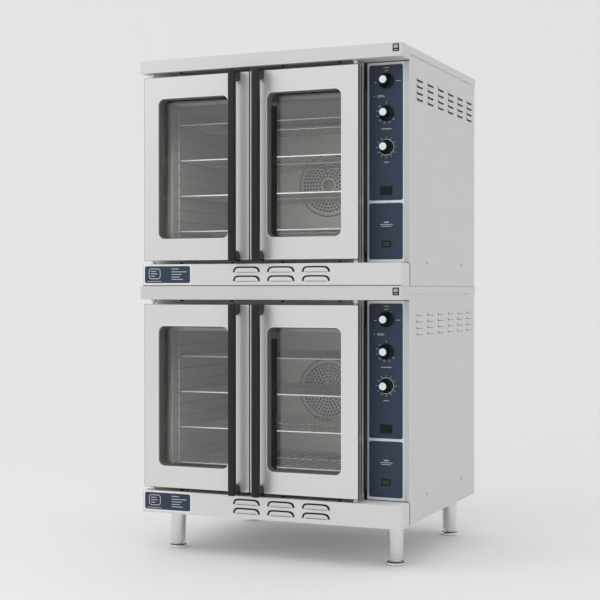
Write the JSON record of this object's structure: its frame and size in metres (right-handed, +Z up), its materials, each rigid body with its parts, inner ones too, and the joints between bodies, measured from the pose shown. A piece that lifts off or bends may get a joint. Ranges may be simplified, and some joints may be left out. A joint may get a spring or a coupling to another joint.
{
  "type": "double-stack convection oven",
  "caption": "Stacked electric convection ovens on round legs, with paired glazed doors, full-height handles, wire racks, side controls, louvred panels and rear fans.",
  "frame": {"origin": "on the floor, below the middle of the oven's bounding box", "axes": "+Z up, -Y out of the oven's front, +X to the right as seen from the front"},
  "size_m": [0.9664, 0.924, 1.7237],
  "materials": {
    "stainless": "fine brushed stainless steel",
    "cavity_steel": "dull dark cavity lining",
    "chrome_wire": "bright nickel-chrome wire",
    "window_glass": "clear tempered glass",
    "handle_black": "satin black moulding",
    "knob_black": "semi-gloss black moulding",
    "panel_blue": "dark slate-blue overlay on sheet",
    "fan_steel": "satin metal",
    "motor_grey": "grey enamel",
    "heater_dark": "dark heat-tinted sheath"
  },
  "bodies": {
    "oven": {"lower_top_cover": "stainless", "lower_base_pan": "stainless", "lower_side_panel_left": "stainless", "lower_side_panel_right": "stainless", "lower_rear_panel": "stainless", "lower_front_frame": "stainless", "lower_cavity_liner": "cavity_steel", "lower_control_panel": "panel_blue", "lower_rack_guide_left": "chrome_wire", "lower_rack_guide_right": "chrome_wire", "lower_fan_baffle": "cavity_steel", "lower_fan_motor": "motor_grey", "lower_heating_element": "heater_dark", "upper_top_cover": "stainless", "upper_base_pan": "stainless", "upper_side_panel_left": "stainless", "upper_side_panel_right": "stainless", "upper_rear_panel": "stainless", "upper_front_frame": "stainless", "upper_cavity_liner": "cavity_steel", "upper_control_panel": "panel_blue", "upper_rack_guide_left": "chrome_wire", "upper_rack_guide_right": "chrome_wire", "upper_fan_baffle": "cavity_steel", "upper_fan_motor": "motor_grey", "upper_heating_element": "heater_dark", "leg_front_left": "stainless", "leg_front_right": "stainless", "leg_rear_left": "stainless", "leg_rear_right": "stainless"},
    "lower_left_door": {"lower_left_door_shell": "stainless", "lower_left_door_glass": "window_glass", "lower_left_door_handle": "handle_black"},
    "lower_right_door": {"lower_right_door_shell": "stainless", "lower_right_door_glass": "window_glass", "lower_right_door_handle": "handle_black"},
    "lower_selector_knob": {"lower_selector_knob": "knob_black"},
    "lower_thermostat_knob": {"lower_thermostat_knob": "knob_black"},
    "lower_timer_knob": {"lower_timer_knob": "knob_black"},
    "lower_rocker_switch": {"lower_rocker_switch": "knob_black"},
    "lower_fan_wheel": {"lower_fan_wheel": "fan_steel"},
    "lower_rack_1": {"lower_rack_1": "chrome_wire"},
    "lower_rack_2": {"lower_rack_2": "chrome_wire"},
    "lower_rack_3": {"lower_rack_3": "chrome_wire"},
    "lower_rack_4": {"lower_rack_4": "chrome_wire"},
    "upper_left_door": {"upper_left_door_shell": "stainless", "upper_left_door_glass": "window_glass", "upper_left_door_handle": "handle_black"},
    "upper_right_door": {"upper_right_door_shell": "stainless", "upper_right_door_glass": "window_glass", "upper_right_door_handle": "handle_black"},
    "upper_selector_knob": {"upper_selector_knob": "knob_black"},
    "upper_thermostat_knob": {"upper_thermostat_knob": "knob_black"},
    "upper_timer_knob": {"upper_timer_knob": "knob_black"},
    "upper_rocker_switch": {"upper_rocker_switch": "knob_black"},
    "upper_fan_wheel": {"upper_fan_wheel": "fan_steel"},
    "upper_rack_1": {"upper_rack_1": "chrome_wire"},
    "upper_rack_2": {"upper_rack_2": "chrome_wire"},
    "upper_rack_3": {"upper_rack_3": "chrome_wire"},
    "upper_rack_4": {"upper_rack_4": "chrome_wire"}
  },
  "joints": [
    {"name": "lower_left_door_hinge", "type": "hinge", "parent": "oven", "child": "lower_left_door", "pos_m": [-0.446, -0.376, 0.544], "axis": [0, 0, -1], "range_deg": [0, 130]},
    {"name": "lower_right_door_hinge", "type": "hinge", "parent": "oven", "child": "lower_right_door", "pos_m": [0.313, -0.376, 0.544], "axis": [0, 0, 1], "range_deg": [0, 130]},
    {"name": "lower_selector_knob_turn", "type": "hinge", "parent": "oven", "child": "lower_selector_knob", "pos_m": [0.401, -0.326, 0.824], "axis": [0, 1, 0], "range_deg": [-90, 90]},
    {"name": "lower_thermostat_knob_turn", "type": "hinge", "parent": "oven", "child": "lower_thermostat_knob", "pos_m": [0.401, -0.326, 0.717], "axis": [0, 1, 0], "range_deg": [0, 300]},
    {"name": "lower_timer_knob_turn", "type": "hinge", "parent": "oven", "child": "lower_timer_knob", "pos_m": [0.401, -0.326, 0.604], "axis": [0, 1, 0], "range_deg": [0, 330]},
    {"name": "lower_rocker_switch_rock", "type": "hinge", "parent": "oven", "child": "lower_rocker_switch", "pos_m": [0.401, -0.3187, 0.4602], "axis": [0, 0, 1], "range_deg": [-4, 4]},
    {"name": "lower_fan_wheel_spin", "type": "hinge", "parent": "oven", "child": "lower_fan_wheel", "pos_m": [-0.06, 0.366, 0.536], "axis": [0, 1, 0], "continuous": true},
    {"name": "lower_rack_1_slide", "type": "slide", "parent": "oven", "child": "lower_rack_1", "axis": [0, -1, 0], "range_m": [0, 0.115]},
    {"name": "lower_rack_2_slide", "type": "slide", "parent": "oven", "child": "lower_rack_2", "axis": [0, -1, 0], "range_m": [0, 0.115]},
    {"name": "lower_rack_3_slide", "type": "slide", "parent": "oven", "child": "lower_rack_3", "axis": [0, -1, 0], "range_m": [0, 0.115]},
    {"name": "lower_rack_4_slide", "type": "slide", "parent": "oven", "child": "lower_rack_4", "axis": [0, -1, 0], "range_m": [0, 0.115]},
    {"name": "upper_left_door_hinge", "type": "hinge", "parent": "oven", "child": "upper_left_door", "pos_m": [-0.446, -0.376, 1.334], "axis": [0, 0, -1], "range_deg": [0, 130]},
    {"name": "upper_right_door_hinge", "type": "hinge", "parent": "oven", "child": "upper_right_door", "pos_m": [0.313, -0.376, 1.334], "axis": [0, 0, 1], "range_deg": [0, 130]},
    {"name": "upper_selector_knob_turn", "type": "hinge", "parent": "oven", "child": "upper_selector_knob", "pos_m": [0.401, -0.326, 1.614], "axis": [0, 1, 0], "range_deg": [-90, 90]},
    {"name": "upper_thermostat_knob_turn", "type": "hinge", "parent": "oven", "child": "upper_thermostat_knob", "pos_m": [0.401, -0.326, 1.507], "axis": [0, 1, 0], "range_deg": [0, 300]},
    {"name": "upper_timer_knob_turn", "type": "hinge", "parent": "oven", "child": "upper_timer_knob", "pos_m": [0.401, -0.326, 1.394], "axis": [0, 1, 0], "range_deg": [0, 330]},
    {"name": "upper_rocker_switch_rock", "type": "hinge", "parent": "oven", "child": "upper_rocker_switch", "pos_m": [0.401, -0.3187, 1.2502], "axis": [0, 0, 1], "range_deg": [-4, 4]},
    {"name": "upper_fan_wheel_spin", "type": "hinge", "parent": "oven", "child": "upper_fan_wheel", "pos_m": [-0.06, 0.366, 1.326], "axis": [0, 1, 0], "continuous": true},
    {"name": "upper_rack_1_slide", "type": "slide", "parent": "oven", "child": "upper_rack_1", "axis": [0, -1, 0], "range_m": [0, 0.115]},
    {"name": "upper_rack_2_slide", "type": "slide", "parent": "oven", "child": "upper_rack_2", "axis": [0, -1, 0], "range_m": [0, 0.115]},
    {"name": "upper_rack_3_slide", "type": "slide", "parent": "oven", "child": "upper_rack_3", "axis": [0, -1, 0], "range_m": [0, 0.115]},
    {"name": "upper_rack_4_slide", "type": "slide", "parent": "oven", "child": "upper_rack_4", "axis": [0, -1, 0], "range_m": [0, 0.115]}
  ]
}
